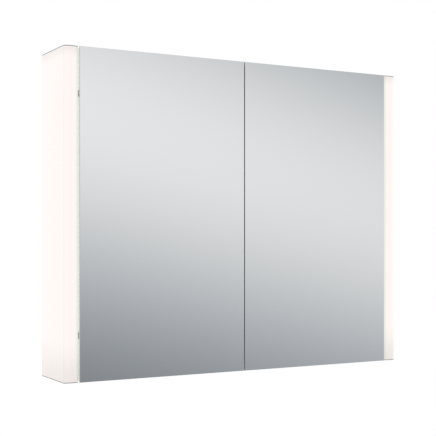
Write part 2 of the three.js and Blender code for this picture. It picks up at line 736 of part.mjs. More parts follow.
// What lies across the middle: the cross panels, the back, the shelves, the electrics and the keyhole plates.
function middle() {
  const group = new THREE.Group();
  group.add(
    piece("top_panel", crossPanel(topUnderside, OVERALL_HEIGHT), whiteBoard()),
    piece("bottom_panel", bottomPanel(), whiteBoard()),
    piece("back_panel", backPanel(), whiteBoard()),
    piece("keyhole_plate_left", keyholePlate(-keyholeX), platedSteel()),
    piece("keyhole_plate_right", keyholePlate(keyholeX), platedSteel()),
    piece("led_driver", ledDriver(), whitePlastic()),
    piece("driver_cover", driverCover(), anodisedAluminium()),
    piece("cable_gland", cableGland(), greyPlastic()),
    piece("switch_housing", switchHousing(), whitePlastic()),
    piece("switch_rocker", switchRocker(), whitePlastic()),
  );
  for (let index = 0; index < SHELF_COUNT; index += 1) {
    group.add(piece(`glass_shelf_${index + 1}`, glassShelf(index), clearGlass()));
  }
  return group;
}

// Moves a group from the cabinet's front underside to the origin on the back panel's outer face.
function placed(group, x) {
  group.position.set(x, -OVERALL_DEPTH, -OVERALL_HEIGHT / 2);
  return group;
}

const cabinet = new THREE.Group();
const leftHalf = placed(cabinetHalf("left"), -OVERALL_WIDTH / 2);
const rightHalf = placed(cabinetHalf("right"), OVERALL_WIDTH / 2);
rightHalf.scale.x = -1;
cabinet.add(leftHalf, rightHalf, placed(middle(), 0));

export default cabinet;
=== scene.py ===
# %% [markdown]
# # A mirror cabinet with lit sides
# This lesson dresses a bathroom cabinet: two mirror doors between two upright lights of opal acrylic, on a
# white board carcass with glass shelves. The working model gives every size. Here the pieces get their fine
# shape, such as polished edges and screw heads, and their finish.

# %% Load the frame
import math

import bmesh
import bpy
from mathutils import Matrix, Vector


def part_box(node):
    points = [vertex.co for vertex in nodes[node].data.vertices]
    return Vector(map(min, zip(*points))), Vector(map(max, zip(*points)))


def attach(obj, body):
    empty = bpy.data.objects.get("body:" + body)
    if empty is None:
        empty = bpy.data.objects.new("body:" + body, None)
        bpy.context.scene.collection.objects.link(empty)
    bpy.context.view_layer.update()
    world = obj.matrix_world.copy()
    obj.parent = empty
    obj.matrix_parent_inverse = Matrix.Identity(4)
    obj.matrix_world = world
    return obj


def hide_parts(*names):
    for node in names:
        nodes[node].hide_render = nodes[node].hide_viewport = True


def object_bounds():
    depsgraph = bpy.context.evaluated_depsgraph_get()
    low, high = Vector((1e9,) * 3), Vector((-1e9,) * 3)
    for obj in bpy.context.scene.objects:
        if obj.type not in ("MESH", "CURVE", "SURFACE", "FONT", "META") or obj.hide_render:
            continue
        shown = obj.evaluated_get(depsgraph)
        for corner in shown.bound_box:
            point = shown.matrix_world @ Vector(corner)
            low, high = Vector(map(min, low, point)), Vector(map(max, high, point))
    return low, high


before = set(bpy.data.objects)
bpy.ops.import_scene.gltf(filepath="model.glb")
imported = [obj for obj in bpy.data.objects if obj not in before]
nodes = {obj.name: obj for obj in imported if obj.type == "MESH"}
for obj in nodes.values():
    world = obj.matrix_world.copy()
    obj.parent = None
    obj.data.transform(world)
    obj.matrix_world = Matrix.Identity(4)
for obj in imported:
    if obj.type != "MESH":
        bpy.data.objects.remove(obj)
cad_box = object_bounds()

# %% [markdown]
# ## Sizes that everything shares
# The cabinet hangs with its back on the plane y = 0 and its mirrors face -y. Its outer box comes from the
# frame. Small sizes are written in millimetres, as a maker would say them, and turned to metres in one
# place.

# %% The cabinet's box
MM = 0.001
low, high = Vector(cad_box[0]), Vector(cad_box[1])
SIDES = {"left": -1, "right": 1}
LEVELS = ("lower", "upper")
HALF_WIDTH = high.x
HEIGHT = high.z - low.z
print("cabinet, mm:", [round((b - a) / MM, 1) for a, b in zip(low, high)])

# %% [markdown]
# ## The camera
# The cabinet is seen from the left and level, from a little under its middle. A long lens keeps the doors
# calm, and the camera stays upright, so that the cabinet's uprights stay parallel. A small rise of the lens
# frames it.

# %% Camera
CAMERA_FROM_CORNER = Vector((-0.6857, -1.8494, 0.280))
CAMERA_TURN = math.radians(-28.92)
CAMERA_LENS = 84.1
CAMERA_RISE = 0.045

camera_data = bpy.data.cameras.new("camera")
camera_data.lens = CAMERA_LENS
camera_data.shift_y = CAMERA_RISE
camera = bpy.data.objects.new("camera", camera_data)
camera.location = low + CAMERA_FROM_CORNER
camera.rotation_euler = (math.radians(90), 0, CAMERA_TURN)
bpy.context.scene.collection.objects.link(camera)
bpy.context.scene.camera = camera
print("camera at", [round(v, 3) for v in camera.location])

# %% [markdown]
# ## Building a material
# A colour is written as a shop would give it, in sRGB hex, and one function turns it to the linear values
# that light is worked out in. One more function adds a node, with its settings and its links. A material
# could be wired by hand for each part, but then every pattern would be written out again. So the one
# pattern that all real surfaces share, a slight unevenness, is kept in a function of its own.

# %% Colour and node helpers
MATH, RANGE, MIX = "ShaderNodeMath", "ShaderNodeMapRange", "ShaderNodeMix"
SOFTLY = {"interpolation_type": "SMOOTHSTEP"}
NOISE_LOW, NOISE_HIGH = 0.3, 0.7  # nearly all of a noise lies between these


def linear(hex_colour):
    values = [int(hex_colour[i : i + 2], 16) / 255 for i in (1, 3, 5)]
    return [v / 12.92 if v <= 0.04045 else ((v + 0.055) / 1.055) ** 2.4 for v in values] + [1.0]


def add(tree, kind, inputs=(), **settings):
    """Adds a node. inputs sets its sockets, in order or by name or number: a value, or what to link there."""
    made = tree.nodes.new(kind)
    for name, value in settings.items():
        setattr(made, name, value)
    given = inputs if isinstance(inputs, dict) else dict(enumerate(inputs))
    for name, value in given.items():
        source = value.outputs[0] if isinstance(value, bpy.types.Node) else value
        if isinstance(source, bpy.types.NodeSocket):
            tree.links.new(source, made.inputs[name])
        else:
            made.inputs[name].default_value = source
    return made


def finish_named(name, **shader):
    """A material with one Principled shader, and that shader, so that patterns can be linked to it."""
    material = bpy.data.materials.new(name)
    material.use_nodes = True
    surface = material.node_tree.nodes["Principled BSDF"]
    for socket, value in shader.items():
        surface.inputs[socket.replace("_", " ")].default_value = value
    return material, surface


def speckled(material, surface, size_mm, roughness, bump_mm=0.0, detail=3.0, stretch=(1, 1, 1)):
    """Fine unevenness: a roughness that wanders between two values, and a surface that can rise and fall."""
    tree = material.node_tree
    place = add(tree, "ShaderNodeTexCoord")
    scaled = add(tree, "ShaderNodeMapping", {"Vector": place.outputs["Object"], "Scale": stretch})
    noise = {"Vector": scaled.outputs["Vector"], "Scale": 1 / (size_mm * MM), "Detail": detail}
    grain = add(tree, "ShaderNodeTexNoise", noise)
    spread = add(tree, RANGE, [grain, NOISE_LOW, NOISE_HIGH, *roughness])
    tree.links.new(spread.outputs["Result"], surface.inputs["Roughness"])
    if bump_mm:
        bump = add(tree, "ShaderNodeBump", {"Height": grain, "Distance": bump_mm * MM})
        tree.links.new(bump.outputs["Normal"], surface.inputs["Normal"])


print("middle grey in linear light:", round(linear("#808080")[0], 3))

# %% [markdown]
# ## Silvered float glass
# A mirror is float glass with silver on its back, sealed by grey paint. The silver gives a full, sharp
# reflection with a slight cool cast from the glass. Cut edges are ground and polished, and look grey-green,
# because there the eye looks along the sheet. Only a trace of haze varies over the face. It could be built
# as clear glass over a silver sheet, but that gives a second, faint reflection and much noise. One metal
# surface gives the same picture, and the edge and the back get materials of their own. The edge beside a
# light is a lighter copy with a faint painted glow, which stands in for the strip's light in the glass.

# %% Mirror materials
def silvered_glass():
    material, surface = finish_named(
        "silvered_float_glass", Base_Color=linear("#F8F9F9"), Metallic=1.0, Roughness=0.015
    )
    speckled(material, surface, 60, (0.008, 0.02))
    return material


def polished_edge():
    material, surface = finish_named(
        "polished_glass_edge", Base_Color=linear("#8E9A97"), Roughness=0.12, IOR=1.52, Coat_Weight=0.6
    )
    speckled(material, surface, 3, (0.08, 0.2), stretch=(1, 1, 0.05))
    return material


def backing_paint():
    material, surface = finish_named(
        "grey_backing_paint", Base_Color=linear("#8A8E91"), Roughness=0.5, IOR=1.5
    )
    speckled(material, surface, 1.2, (0.42, 0.6), bump_mm=0.02)
    return material


def edge_with_painted_glow():
    """The same edge, lighter and with a faint painted glow, for the strip's light carried along the sheet."""
    material, surface = finish_named(
        "polished_glass_edge_painted_glow",
        Base_Color=linear("#A9B0AA"),
        Roughness=0.12,
        IOR=1.52,
        Coat_Weight=0.6,
    )
    surface.inputs["Emission Color"].default_value = linear("#E9EFE3")
    surface.inputs["Emission Strength"].default_value = 0.06
    speckled(material, surface, 3, (0.08, 0.2), stretch=(1, 1, 0.05))
    return material


mirror_face, glass_edge, mirror_back = silvered_glass(), polished_edge(), backing_paint()
painted_glow_edge = edge_with_painted_glow()
print("mirror materials:", [m.name for m in (mirror_face, glass_edge, mirror_back, painted_glow_edge)])

# %% [markdown]
# ## Opal acrylic, lit from inside
# The light covers are extruded opal PMMA, with a soft gloss. White pigment in the sheet spreads the light
# of the LEDs, so the cover glows evenly. The glow falls off a little at the two ends, past the last LED, at
# the wall, and along the inner edge of the front, where the sheet turns away from the board. At the outer
# corner the sheet is thickest, so a faint line shows there. The wall that turns back beside the door is
# made to glow most, so that the narrow gap there fills with light. The lamp is warm white, and where less
# light comes through, the sheet looks a little greener. Real LEDs could be lit behind a cloudy sheet, but
# that renders slowly and with much noise. So the sheet glows itself, and each fade is worked out from where
# a point lies on it.

# %% Opal acrylic material
LIGHT_WIDTH_MM = 29.5
CROWN_MM = 4.2  # how far the cover bows forward
GLOW_WARM, GLOW_THIN = "#FFF6F2", "#F8FAF2"
GLOW_STRENGTH = 0.826
# Each fade: how far it reaches in mm, and the share of the full glow at its darkest or brightest.
TOP_FADE_MM, TOP_LEVEL = 25, 0.87
FOOT_FADE_MM, FOOT_LEVEL = 85, 0.83
REAR_FADE_MM, REAR_LEVEL = 7, 0.93
SIDE_TURN_MM, SIDE_LEVEL = 3, 0.88
INNER_FADE_MM, INNER_LEVEL = 8, 0.86
RETURN_FADE_MM, RETURN_LEVEL = 4, 1.52
CORNER_FADE_MM, CORNER_LEVEL = 2.4, 0.86


def lit_opal():
    material, surface = finish_named(
        "opal_acrylic_lit", Base_Color=linear("#7C7B79"), Roughness=0.32, IOR=1.49, Coat_Weight=0.1
    )
    tree = material.node_tree
    speckled(material, surface, 2.5, (0.28, 0.4), bump_mm=0.01)
    place = add(tree, "ShaderNodeTexCoord")
    axes = add(tree, "ShaderNodeSeparateXYZ", {"Vector": place.outputs["Object"]})
    depth, height = axes.outputs["Y"], axes.outputs["Z"]
    aside = add(tree, MATH, [axes.outputs["X"]], operation="ABSOLUTE")
    top, crown_edge = HEIGHT / 2, low.y + CROWN_MM * MM
    inner = HALF_WIDTH - LIGHT_WIDTH_MM * MM

    off_side = add(tree, MATH, [HALF_WIDTH, aside], operation="SUBTRACT")
    behind_crown = add(tree, MATH, [depth, crown_edge], operation="SUBTRACT")
    off_front = add(tree, MATH, [behind_crown], operation="ABSOLUTE")
    off_corner = add(tree, MATH, [off_side, off_front], operation="ADD")
    fades = (
        (height, top - TOP_FADE_MM * MM, top, 1.0, TOP_LEVEL),
        (height, -top, -top + FOOT_FADE_MM * MM, FOOT_LEVEL, 1.0),
        (depth, -REAR_FADE_MM * MM, 0, 1.0, REAR_LEVEL),
        (depth, crown_edge, crown_edge + SIDE_TURN_MM * MM, 1.0, SIDE_LEVEL),
        (off_corner, 0, CORNER_FADE_MM * MM, CORNER_LEVEL, 1.0),
    )
    shares = [add(tree, RANGE, fade, **SOFTLY) for fade in fades]

    across = add(tree, RANGE, [aside, inner, inner + INNER_FADE_MM * MM, 0.0, 1.0], **SOFTLY)
    shares.append(add(tree, RANGE, [across, 0, 1, INNER_LEVEL, 1.0]))
    back = add(tree, RANGE, [depth, crown_edge, crown_edge + RETURN_FADE_MM * MM, 0.0, 1.0], **SOFTLY)
    beside_door = add(tree, RANGE, [aside, inner, inner + MM, 1.0, 0.0], **SOFTLY)
    turned_back = add(tree, MATH, [back, beside_door], operation="MULTIPLY")
    shares.append(add(tree, RANGE, [turned_back, 0, 1, 1.0, RETURN_LEVEL]))

    glow = GLOW_STRENGTH
    for share in shares:
        glow = add(tree, MATH, [glow, share], operation="MULTIPLY")
    tints = {"Factor": across, 6: linear(GLOW_THIN), 7: linear(GLOW_WARM)}
    colour = add(tree, MIX, tints, data_type="RGBA").outputs[2]
    tree.links.new(colour, surface.inputs["Emission Color"])
    tree.links.new(glow.outputs[0], surface.inputs["Emission Strength"])
    return material


opal = lit_opal()
print("nodes in the opal acrylic:", len(opal.node_tree.nodes))

# %% [markdown]
# ## Boards
# Melamine is printed paper pressed on chipboard with a pearled plate, so it has a fine pebble and a dull
# sheen. The cores of the doors are fibreboard with sprayed lacquer, which dries smoother, with a faint
# ripple. A picture could be wrapped round each board, but a noise in the board's own space has no seams.
# The pebble is drawn a little coarser than it really is, so that it shows.

# %% Board materials
def melamine():
    material, surface = finish_named(
        "white_melamine_board", Base_Color=linear("#F1F1EE"), Roughness=0.45, IOR=1.5
    )
    speckled(material, surface, 0.8, (0.38, 0.55), bump_mm=0.03)
    return material


def lacquered_board():
    material, surface = finish_named(
        "white_lacquered_fibreboard", Base_Color=linear("#ECECE9"), Roughness=0.35
    )
    speckled(material, surface, 4, (0.28, 0.42), bump_mm=0.02)
    return material


board, core_board = melamine(), lacquered_board()
print("boards:", board.name, core_board.name)

# %% [markdown]
# ## Metals
# Anodised aluminium keeps the fine lines of its die, along its length, and they draw a highlight out
# sideways. Nickel plate is bright with a faint haze, and zinc plate is duller and patchy. Each is a plain
# metal whose roughness wanders, which is enough for small parts that lie in shade. The die lines are
# finer than can show, so they are drawn coarser.

# %% Metal materials
def anodised():
    material, surface = finish_named(
        "anodised_aluminium", Base_Color=linear("#C3C6C9"), Metallic=1.0, Roughness=0.35
    )
    speckled(material, surface, 0.9, (0.26, 0.46), bump_mm=0.01, stretch=(1, 1, 0.01))
    return material


def nickel_plate():
    material, surface = finish_named(
        "nickel_plated_zinc", Base_Color=linear("#D2D0CB"), Metallic=1.0, Roughness=0.2
    )
    speckled(material, surface, 5, (0.14, 0.28))
    return material


def zinc_plate():
    material, surface = finish_named(
        "zinc_plated_steel", Base_Color=linear("#B9BDC2"), Metallic=1.0, Roughness=0.4
    )
    speckled(material, surface, 7, (0.3, 0.55), detail=5)
    return material


aluminium, nickel, zinc = anodised(), nickel_plate(), zinc_plate()
print("metals:", aluminium.name, nickel.name, zinc.name)

# %% [markdown]
# ## Plastics, glass and silicone
# Moulded ABS and nylon carry the spark-eroded grain of their mould, which breaks up the gloss. Solder mask
# is a thick white lacquer with a soft shine. The grain is finer than can show, so it is drawn coarser. One
# function makes all of these, since only colour, gloss and grain differ. The shelves are clear float glass.
# The bumpers and clips are clear silicone, which is cloudier and softer at the highlight.

# %% Plastic, glass and silicone materials
def moulded(name, colour, roughness, grain_mm=0.5, wander=0.07):
    material, surface = finish_named(name, Base_Color=linear(colour), Roughness=roughness, IOR=1.53)
    speckled(material, surface, grain_mm, (roughness - wander, roughness + wander), bump_mm=0.015)
    return material


def shelf_glass():
    material, surface = finish_named(
        "clear_float_glass", Base_Color=linear("#E9F5F1"), Roughness=0.02, IOR=1.52, Transmission_Weight=1.0
    )
    speckled(material, surface, 50, (0.0, 0.03))
    return material


def clear_silicone():
    material, surface = finish_named(
        "clear_silicone", Base_Color=linear("#E8EBEB"), Roughness=0.3, IOR=1.41, Transmission_Weight=0.6
    )
    speckled(material, surface, 1.5, (0.22, 0.4))
    return material


white_abs = moulded("white_moulded_abs", "#EFEFEC", 0.38)
cap_abs = moulded("grey_moulded_abs", "#8C8F90", 0.5)
nylon = moulded("grey_moulded_nylon", "#8F9396", 0.5, 0.8)
solder_mask = moulded("white_solder_mask", "#F4F4EF", 0.3, 1.0)
glass, silicone = shelf_glass(), clear_silicone()
print("materials:", len(bpy.data.materials))

# %% [markdown]
# ## Making pieces
# Most of these parts are extrusions: an outline carried along one axis. One function does that for each of
# the three axes, and another turns a profile, for the round parts. Both could start from Blender's own
# cubes and cylinders, but an outline in millimetres is closer to how the parts are drawn in a workshop.

# %% Extruded and turned pieces
SAME_TURNED_PLACE = 1e-7

ALONG = {
    "x": lambda a, b, h: (h, a, b),
    "y": lambda a, b, h: (a, h, b),
    "z": lambda a, b, h: (a, b, h),
}


def piece_from(bm, name, *materials):
    bmesh.ops.recalc_face_normals(bm, faces=bm.faces)
    mesh = bpy.data.meshes.new(name)
    bm.to_mesh(mesh)
    bm.free()
    made = bpy.data.objects.new(name, mesh)
    for material in materials:
        mesh.materials.append(material)
    bpy.context.scene.collection.objects.link(made)
    return made


def extruded(name, outline, axis, start, end, *materials):
    """An outline of (a, b) points in metres, carried along an axis."""
    bm = bmesh.new()
    place = ALONG[axis]
    face = bm.faces.new([bm.verts.new(place(a, b, start)) for a, b in outline])
    grown = bmesh.ops.extrude_face_region(bm, geom=[face])
    moved = [v for v in grown["geom"] if isinstance(v, bmesh.types.BMVert)]
    bmesh.ops.translate(bm, verts=moved, vec=Vector(place(0, 0, end - start)))
    return piece_from(bm, name, *materials)


def turned(name, profile, centre, axis, *materials, steps=48):
    """A closed profile of (radius, height) points in metres, turned about an axis through centre."""
    bm = bmesh.new()
    place = ALONG[axis]
    rings = []
    for i in range(steps):
        angle = 2 * math.pi * i / steps
        ring = [place(r * math.cos(angle), r * math.sin(angle), h) for r, h in profile]
        rings.append([bm.verts.new(Vector(centre) + Vector(p)) for p in ring])
    for i, ring in enumerate(rings):
        after = rings[(i + 1) % steps]
        for j in range(len(profile)):
            k = (j + 1) % len(profile)
            on_axis = profile[j][0] == 0 and profile[k][0] == 0
            if not on_axis:
                bm.faces.new((ring[j], ring[k], after[k], after[j]))
    bmesh.ops.remove_doubles(bm, verts=bm.verts, dist=SAME_TURNED_PLACE)
    return piece_from(bm, name, *materials)


print("pieces can be made along:", *ALONG)

# %% [markdown]
# ## Broken edges
# Edges are broken with a narrow bevel, because no real edge is knife sharp, and a broken edge catches
# light. Two things go wrong easily here. A bevel shared smoothly with a wide flat face bends that face's
# shading, and a mirror then reflects straight lines as curves, so the normals are weighted by area. A bevel
# run over the rim of a cut can fold a face over, so a piece is bevelled first and cut after.

# %% Bevels and shading
SHARP_DEGREES = 32
SAME_PLACE = 1e-6


def settled(obj):
    """Applies the piece's modifiers."""
    graph = bpy.context.evaluated_depsgraph_get()
    mesh = bpy.data.meshes.new_from_object(obj.evaluated_get(graph))
    obj.modifiers.clear()
    obj.data = mesh
    return obj


def smooth(obj, degrees=SHARP_DEGREES):
    obj.data.polygons.foreach_set("use_smooth", [True] * len(obj.data.polygons))
    obj.data.set_sharp_from_angle(angle=math.radians(degrees))
    return obj


def wide_faces_flat(obj):
    """Shades the narrow bevels smoothly, and keeps the wide faces flat."""
    smooth(obj)
    flat = obj.modifiers.new("wide_faces_stay_flat", "WEIGHTED_NORMAL")
    flat.mode = "FACE_AREA"
    flat.keep_sharp = True
    return settled(obj)


def without_slivers(obj):
    """Removes faces that a bevel has squeezed to nothing."""
    bm = bmesh.new()
    bm.from_mesh(obj.data)
    bmesh.ops.dissolve_degenerate(bm, dist=SAME_PLACE, edges=bm.edges)
    bm.to_mesh(obj.data)
    bm.free()
    return obj


def edges_broken(obj, width_mm, segments=2):
    bevel = obj.modifiers.new("broken_edges", "BEVEL")
    bevel.width = width_mm * MM
    bevel.segments = segments
    bevel.limit_method = "ANGLE"
    bevel.angle_limit = math.radians(SHARP_DEGREES)
    return wide_faces_flat(without_slivers(settled(obj)))


print("edges sharper than this are broken, degrees:", SHARP_DEGREES)

# %% [markdown]
# ## Cuts, copies and places
# Holes and countersinks are cut with solid tools, as a drill would cut them. The working model's solids
# are made of many small triangles, so a fine copy first joins the flat ones up. Each piece is then put on
# the body that it moves with, and the solid that it stands for is hidden.

# %% Cutting, copying and placing
FLAT_DEGREES = 1


def carved(obj, *tools):
    """Cuts the tools out of the piece, and removes the tools."""
    for tool in tools:
        cut = obj.modifiers.new("cut", "BOOLEAN")
        cut.operation = "DIFFERENCE"
        cut.solver = "EXACT"
        cut.object = tool
        bpy.context.view_layer.update()
        settled(obj)
        bpy.data.objects.remove(tool)
    return obj


def copied(node, name, *materials):
    """A fine copy of a frame node's solid, with its flat faces joined up, ready to be bevelled."""
    bm = bmesh.new()
    bm.from_mesh(nodes[node].data)
    bmesh.ops.remove_doubles(bm, verts=bm.verts, dist=SAME_PLACE)
    bmesh.ops.dissolve_limit(bm, angle_limit=math.radians(FLAT_DEGREES), verts=bm.verts, edges=bm.edges)
    return piece_from(bm, name, *materials)


def fitted(obj, body, slot, *replaced):
    """Puts the piece on its body, and hides the frame nodes that it stands for."""
    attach(obj, body)
    if replaced:
        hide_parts(*replaced)
    return obj


def disc(radius, segments=32):
    angles = [2 * math.pi * i / segments for i in range(segments)]
    return [(radius * math.cos(a), radius * math.sin(a)) for a in angles]


print("points in a round outline:", len(disc(1.0)))

# %% [markdown]
# ## Screw heads
# The cabinet is held together by cross-recess screws. A head is a low dish with a cross sunk in it. One
# head is built once, and each row of screws is one piece made of copies of it, turned to face the right
# way. The cross could be cut out with a tool, but a head built face by face stays light and clean, and
# there are dozens of them.

# %% Screws
SCREW_STEPS = 24
# Shares of the head's radius, then of its height.
CROSS_REACH, CROSS_HALF, CROSS_FOOT, FLAT_TOP = 0.62, 0.16, 0.7, 0.86
RIM_DROP, CROSS_DEPTH = 0.3, 0.7
SCREW_TURN, SCREW_FIRST = 0.7, 0.3


def screw_mesh(radius, height):
    """A head that faces +z, with its top at zero and a cross-shaped recess."""
    bm = bmesh.new()
    arm, half = radius * CROSS_REACH, radius * CROSS_HALF
    cross = [(arm, -half), (arm, half), (half, half), (half, arm), (-half, arm), (-half, half)]
    cross += [(-a, -b) for a, b in cross]
    rim = [bm.verts.new((a, b, 0)) for a, b in disc(radius * FLAT_TOP, SCREW_STEPS)]
    hole = [bm.verts.new((a, b, 0)) for a, b in cross]
    loops = [bm.edges.new((ring[i - 1], ring[i])) for ring in (rim, hole) for i in range(len(ring))]
    bmesh.ops.triangle_fill(bm, edges=loops, use_beauty=True)
    for ring, outline, depth in (
        (rim, disc(radius, SCREW_STEPS), -RIM_DROP * height),
        (hole, [(a * CROSS_FOOT, b * CROSS_FOOT) for a, b in cross], -CROSS_DEPTH * height),
    ):
        sunk = [bm.verts.new((a, b, depth)) for a, b in outline]
        for i in range(len(ring)):
            bm.faces.new((ring[i - 1], ring[i], sunk[i], sunk[i - 1]))
        if ring is hole:
            bm.faces.new(sunk)
        else:
            base = [bm.verts.new((a, b, -height)) for a, b in outline]
            for i in range(len(ring)):
                bm.faces.new((sunk[i - 1], sunk[i], base[i], base[i - 1]))
            bm.faces.new(base)
    bmesh.ops.recalc_face_normals(bm, faces=bm.faces)
    return bm


def screws(name, places, towards, radius_mm, height_mm, body, slot, material):
    """Screw heads at these places, facing one way. Each cross is turned differently, as it was driven."""
    whole = bmesh.new()
    head = screw_mesh(radius_mm * MM, height_mm * MM)
    mesh = bpy.data.meshes.new(name)
    head.to_mesh(mesh)
    head.free()
    facing = Vector(towards).to_track_quat("Z", "Y").to_matrix().to_4x4()
    for number, place in enumerate(places):
        before = len(whole.verts)
        whole.from_mesh(mesh)
        whole.verts.ensure_lookup_table()
        spin = Matrix.Rotation(SCREW_TURN * number + SCREW_FIRST, 4, "Z")
        put = Matrix.Translation(place) @ facing @ spin
        bmesh.ops.transform(whole, matrix=put, verts=whole.verts[before:])
    bpy.data.meshes.remove(mesh)
    return smooth(fitted(piece_from(whole, name, material), body, slot))


sample = screw_mesh(3 * MM, 1 * MM)
print("faces in a screw head:", len(sample.faces))
sample.free()

# %% [markdown]
# ## The studio
# A mirror shows the room, so the room is part of a mirror's look. Behind the cabinet the studio is white.
# In front of it a broad soft glow hangs in a darker, cooler room, and the doors reflect that. The glow is a
# soft hump that leans: its height and width change a little from left to right. It belongs to the room, not
# to the camera. Lamps and walls could be built for this, but a room worked out from the direction alone has
# no noise, and it is easy to tune.

# %% Studio light
GLOW_BASE, GLOW_LEVEL, GLOW_FADE = 0.164, 0.698, -0.181
GLOW_AT, GLOW_TILT = 0.086, -0.244
GLOW_SPREAD, GLOW_WIDENING = 0.215, 0.030
GLOW_MIDDLE = 0.58
ROOM_OUTER = 0.78
ROOM_DARK, ROOM_BRIGHT = "#EFF6FF", "#F5F6F7"
TINT_FROM, TINT_TO = 0.2, 0.85
# Directions are given as slopes: so far aside, or up, for one step ahead.
LEAST_AHEAD = 0.05
GLOW_ASIDE = (0.2, 1.0)
OUTER_ABOVE, OUTER_ASIDE = (0.3, 0.95), (0.24, 0.6)
WHITE_FROM, WHITE_TO = -0.35, -0.12


def studio():
    world = bpy.data.worlds.new("studio")
    bpy.context.scene.world = world
    world.use_nodes = True
    tree = world.node_tree
    background = tree.nodes["Background"]
    way = add(tree, "ShaderNodeTexCoord")
    axes = add(tree, "ShaderNodeSeparateXYZ", {"Vector": way.outputs["Generated"]})
    across, along, up = (axes.outputs[axis] for axis in "XYZ")
    forward = add(tree, MATH, [along, -1.0], operation="MULTIPLY")
    ahead = add(tree, MATH, [forward, LEAST_AHEAD], operation="MAXIMUM")
    wide = add(tree, MATH, [across, ahead], operation="DIVIDE")
    rise = add(tree, MATH, [up, ahead], operation="DIVIDE")

    aside = add(tree, "ShaderNodeClamp", [wide, *GLOW_ASIDE])
    off_middle = add(tree, MATH, [aside, GLOW_MIDDLE], operation="SUBTRACT")
    middle, spread, level = (
        add(tree, MATH, [off_middle, slope, base], operation="MULTIPLY_ADD")
        for slope, base in ((GLOW_TILT, GLOW_AT), (GLOW_WIDENING, GLOW_SPREAD), (GLOW_FADE, GLOW_LEVEL))
    )
    above_middle = add(tree, MATH, [rise, middle], operation="SUBTRACT")
    from_middle = add(tree, MATH, [above_middle, spread], operation="DIVIDE")
    squared = add(tree, MATH, [from_middle, from_middle], operation="MULTIPLY")
    falling = add(tree, MATH, [squared, -1.0], operation="MULTIPLY")
    hump = add(tree, MATH, [falling], operation="EXPONENT")
    lit = add(tree, MATH, [level, hump, GLOW_BASE], operation="MULTIPLY_ADD")

    steep = add(tree, MATH, [rise], operation="ABSOLUTE")
    off_glow = add(tree, MATH, [wide, GLOW_MIDDLE], operation="SUBTRACT")
    off_glow = add(tree, MATH, [off_glow], operation="ABSOLUTE")
    room = lit
    for slope, limits in ((steep, OUTER_ABOVE), (off_glow, OUTER_ASIDE)):
        outer = add(tree, RANGE, [slope, *limits, 0.0, ROOM_OUTER], **SOFTLY)
        room = add(tree, MATH, [room, outer], operation="MAXIMUM")

    behind = add(tree, RANGE, [along, WHITE_FROM, WHITE_TO, 0.0, 1.0], **SOFTLY)
    brightness = add(tree, RANGE, [room, TINT_FROM, TINT_TO, 0, 1], **SOFTLY)
    tints = {"Factor": brightness, 6: linear(ROOM_DARK), 7: linear(ROOM_BRIGHT)}
    tint = add(tree, MIX, tints, data_type="RGBA").outputs[2]
    shades = {"Factor": room, 6: (0, 0, 0, 1), 7: tint}
    shaded = add(tree, MIX, shades, data_type="RGBA").outputs[2]
    walls = {"Factor": behind, 6: shaded, 7: (1, 1, 1, 1)}
    whole = add(tree, MIX, walls, data_type="RGBA").outputs[2]
    tree.links.new(whole, background.inputs["Color"])
    return tree


studio_tree = studio()
bpy.context.scene.view_settings.view_transform = "Standard"
print("nodes in the studio:", len(studio_tree.nodes))

# %% [markdown]
# ## The softbox
# One large square lamp hangs in front, high up and to the left, as in any studio. The room itself lights
# the cabinet from every side, so this lamp is weak and only helps to shape the edges.

# %% Softbox
SOFTBOX_AT, SOFTBOX_SIZE, SOFTBOX_WATTS = (-0.7, -1.1, 2.6), 1.6, 12


def soft_light(name, place, aim, size, watts):
    data = bpy.data.lights.new(name, "AREA")
    data.size, data.energy = size, watts
    lamp = bpy.data.objects.new(name, data)
    lamp.location = place
    lamp.rotation_euler = (Vector(aim) - Vector(place)).to_track_quat("-Z", "Y").to_euler()
    bpy.context.scene.collection.objects.link(lamp)


soft_light("overhead_softbox", SOFTBOX_AT, (0, 0, 0), SOFTBOX_SIZE, SOFTBOX_WATTS)
print("softbox watts:", SOFTBOX_WATTS)

# %% [markdown]
# ## The floor
# The floor is a plain pale disc, well under the cabinet, which hangs on a wall. A round floor has no
# corners that could show in the mirrors.

# %% Floor
FLOOR_DROP, FLOOR_RADIUS, FLOOR_THICKNESS, FLOOR_STEPS = 1.2, 4.5, 0.02, 96
floor_finish, floor_shader = finish_named("pale_floor", Base_Color=linear("#EDEDEB"), Roughness=0.7)
speckled(floor_finish, floor_shader, 30, (0.62, 0.78))
floor_top = low.z - FLOOR_DROP
floor_outline = disc(FLOOR_RADIUS, FLOOR_STEPS)
floor = extruded("floor", floor_outline, "z", floor_top - FLOOR_THICKNESS, floor_top, floor_finish)
print("floor at z =", round(floor_top, 3))

# %% [markdown]
# ## Copies of the board pieces
# The carcass is chipboard faced with white melamine. A panel's edges are banded, and the band's arris is
# scraped, so each edge is broken by less than half a millimetre. Each panel is a fine copy of the model's
# solid, with its edges broken. The side panels also get the two rows of 5 mm holes, 32 mm apart, that such
# panels are drilled with. The holes could be painted on as dark dots, but drilled holes look right from
# any side.

# %% Carcass
HOLE_RADIUS_MM, HOLE_PITCH_MM, HOLE_DEPTH_MM, HOLES = 2.5, 32, 9, 11
HOLE_ROWS_MM = (36, 76)
BOARD_ARRIS_MM = 0.35
CLEAR_MM = 2  # how far a cutting tool stands clear of the face it cuts
BACK_SCREW_IN_MM, BACK_SCREW_DOWN_MM, BACK_SCREW_ASIDE_MM = 14, 58, 120
BACK_HEAD = (3.2, 1.2)  # a head's radius and height
HEAD_UNDER_MM = 0.1  # a countersunk head lies this far under the face


def dressed(node, body, slot, bevel_mm, *materials, segments=2, tools=()):
    """A fine copy of a node: its edges broken, then cut by the tools, standing for the node."""
    obj = copied(node, f"{node}_finished", *materials)
    edges_broken(obj, bevel_mm, segments)
    if tools:
        wide_faces_flat(carved(obj, *tools))
    return fitted(obj, body, slot, node)


